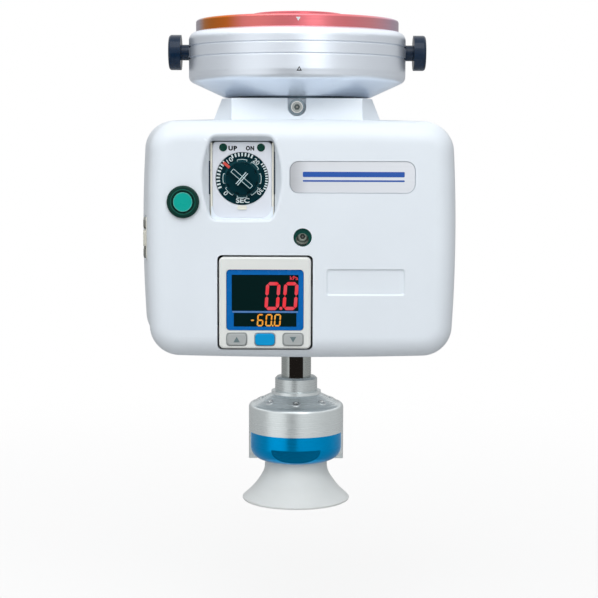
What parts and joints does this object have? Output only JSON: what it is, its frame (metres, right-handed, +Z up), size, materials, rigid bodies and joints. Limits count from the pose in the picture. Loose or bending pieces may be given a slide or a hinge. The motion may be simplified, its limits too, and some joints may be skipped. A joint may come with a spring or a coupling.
{
  "type": "electric vacuum gripper",
  "caption": "Robot-mounted electric vacuum gripper: tool-changer flange, plastic housing with timer, pressure display and start button, and a rod with a silicone suction cup.",
  "frame": {"origin": "centre of the robot mounting face, the flat top of the robot plate around its pilot boss", "axes": "+Z up to the robot along the rod's axis, -Y the front with the controls, +X to the right of someone who reads them"},
  "size_m": [0.1103, 0.0798, 0.1703],
  "materials": {
    "red_anodised": "red anodised, satin",
    "turned_aluminium": "turned, satin",
    "steel": "bright",
    "black_plastic": "satin black",
    "dark_hub": "black anodised",
    "white_plastic": "satin white",
    "plate": "brushed",
    "sheet_steel": "zinc plated",
    "grey_plastic": "pale grey",
    "dial_black": "printed black",
    "lamp_green": "dark green, clear",
    "pointer_red": "red",
    "off_white": "off-white",
    "display": "dark window",
    "key_grey": "grey",
    "key_blue": "light blue",
    "button_green": "teal green",
    "button_bezel": "dark green",
    "board_green": "solder mask",
    "beige": "beige grey",
    "copper": "enamelled copper",
    "iron": "laminated iron",
    "seal": "black rubber",
    "blue_anodised": "blue anodised",
    "silicone": "milky translucent",
    "filter": "felt"
  },
  "bodies": {
    "gripper": {"robot_plate": "red_anodised", "lock_plug": "steel", "plug_screws": "steel", "changer_body": "turned_aluminium", "changer_base": "turned_aluminium", "slide_springs": "steel", "hub": "dark_hub", "hub_screws": "steel", "front_cover": "white_plastic", "rear_cover": "white_plastic", "cover_screws": "steel", "name_plate": "plate", "chassis": "sheet_steel", "manifold": "turned_aluminium", "port_nipples": "steel", "valve_body": "grey_plastic", "valve_coil": "black_plastic", "pump_head": "turned_aluminium", "pump_valve_plate": "steel", "pump_cylinder": "turned_aluminium", "pump_frame": "iron", "pump_bolts": "steel", "pump_cores": "iron", "pump_coils": "copper", "pump_spring_lower": "steel", "pump_spring_upper": "steel", "timer_case": "grey_plastic", "timer_dial": "dial_black", "timer_lamps": "lamp_green", "timer_clips": "black_plastic", "timer_socket": "black_plastic", "sensor_case": "off_white", "sensor_bezel": "off_white", "sensor_window": "display", "start_button_body": "button_bezel", "start_button_nut": "steel", "control_board": "board_green", "board_standoffs": "steel", "io_connector": "beige", "io_posts": "beige", "suction_rod": "steel", "rod_locknut": "steel", "pad_holder": "turned_aluminium", "filter_disc": "filter", "pad_ring": "blue_anodised", "suction_cup": "silicone"},
    "release_left": {"release_button_left": "black_plastic", "lock_slide_left": "steel"},
    "release_right": {"release_button_right": "black_plastic", "lock_slide_right": "steel"},
    "timer_knob": {"timer_knob": "dial_black", "timer_pointer": "pointer_red"},
    "start_button": {"start_button_cap": "button_green"},
    "key_up": {"sensor_key_up": "key_grey"},
    "key_mode": {"sensor_key_mode": "key_blue"},
    "key_down": {"sensor_key_down": "key_grey"},
    "pump_piston": {"pump_piston": "turned_aluminium", "piston_seal": "seal", "pump_armature": "iron"}
  },
  "joints": [
    {"name": "release_left_press", "type": "slide", "parent": "gripper", "child": "release_left", "axis": [1, 0, 0], "range_m": [0, 0.002], "stiffness_N_per_m": 2000, "springref_m": -0.003, "deforming": ["slide_springs"]},
    {"name": "release_right_press", "type": "slide", "parent": "gripper", "child": "release_right", "axis": [-1, 0, 0], "range_m": [0, 0.002], "stiffness_N_per_m": 2000, "springref_m": -0.003, "deforming": ["slide_springs"]},
    {"name": "timer_knob_turn", "type": "hinge", "parent": "gripper", "child": "timer_knob", "pos_m": [-0.0178, -0.0352, -0.0535], "axis": [0, 1, 0], "range_deg": [-86, 190]},
    {"name": "start_button_press", "type": "slide", "parent": "gripper", "child": "start_button", "axis": [0, 1, 0], "range_m": [0, 0.0015], "stiffness_N_per_m": 800, "springref_m": -0.002},
    {"name": "key_up_press", "type": "slide", "parent": "gripper", "child": "key_up", "axis": [0, 1, 0], "range_m": [0, 0.0006], "stiffness_N_per_m": 2000, "springref_m": -0.0005},
    {"name": "key_mode_press", "type": "slide", "parent": "gripper", "child": "key_mode", "axis": [0, 1, 0], "range_m": [0, 0.0006], "stiffness_N_per_m": 2000, "springref_m": -0.0005},
    {"name": "key_down_press", "type": "slide", "parent": "gripper", "child": "key_down", "axis": [0, 1, 0], "range_m": [0, 0.0006], "stiffness_N_per_m": 2000, "springref_m": -0.0005},
    {"name": "pump_stroke", "type": "slide", "parent": "gripper", "child": "pump_piston", "axis": [0, 0, 1], "range_m": [-0.002, 0.002], "stiffness_N_per_m": 3000, "springref_m": 0.00006, "deforming": ["pump_spring_lower", "pump_spring_upper"]}
  ]
}
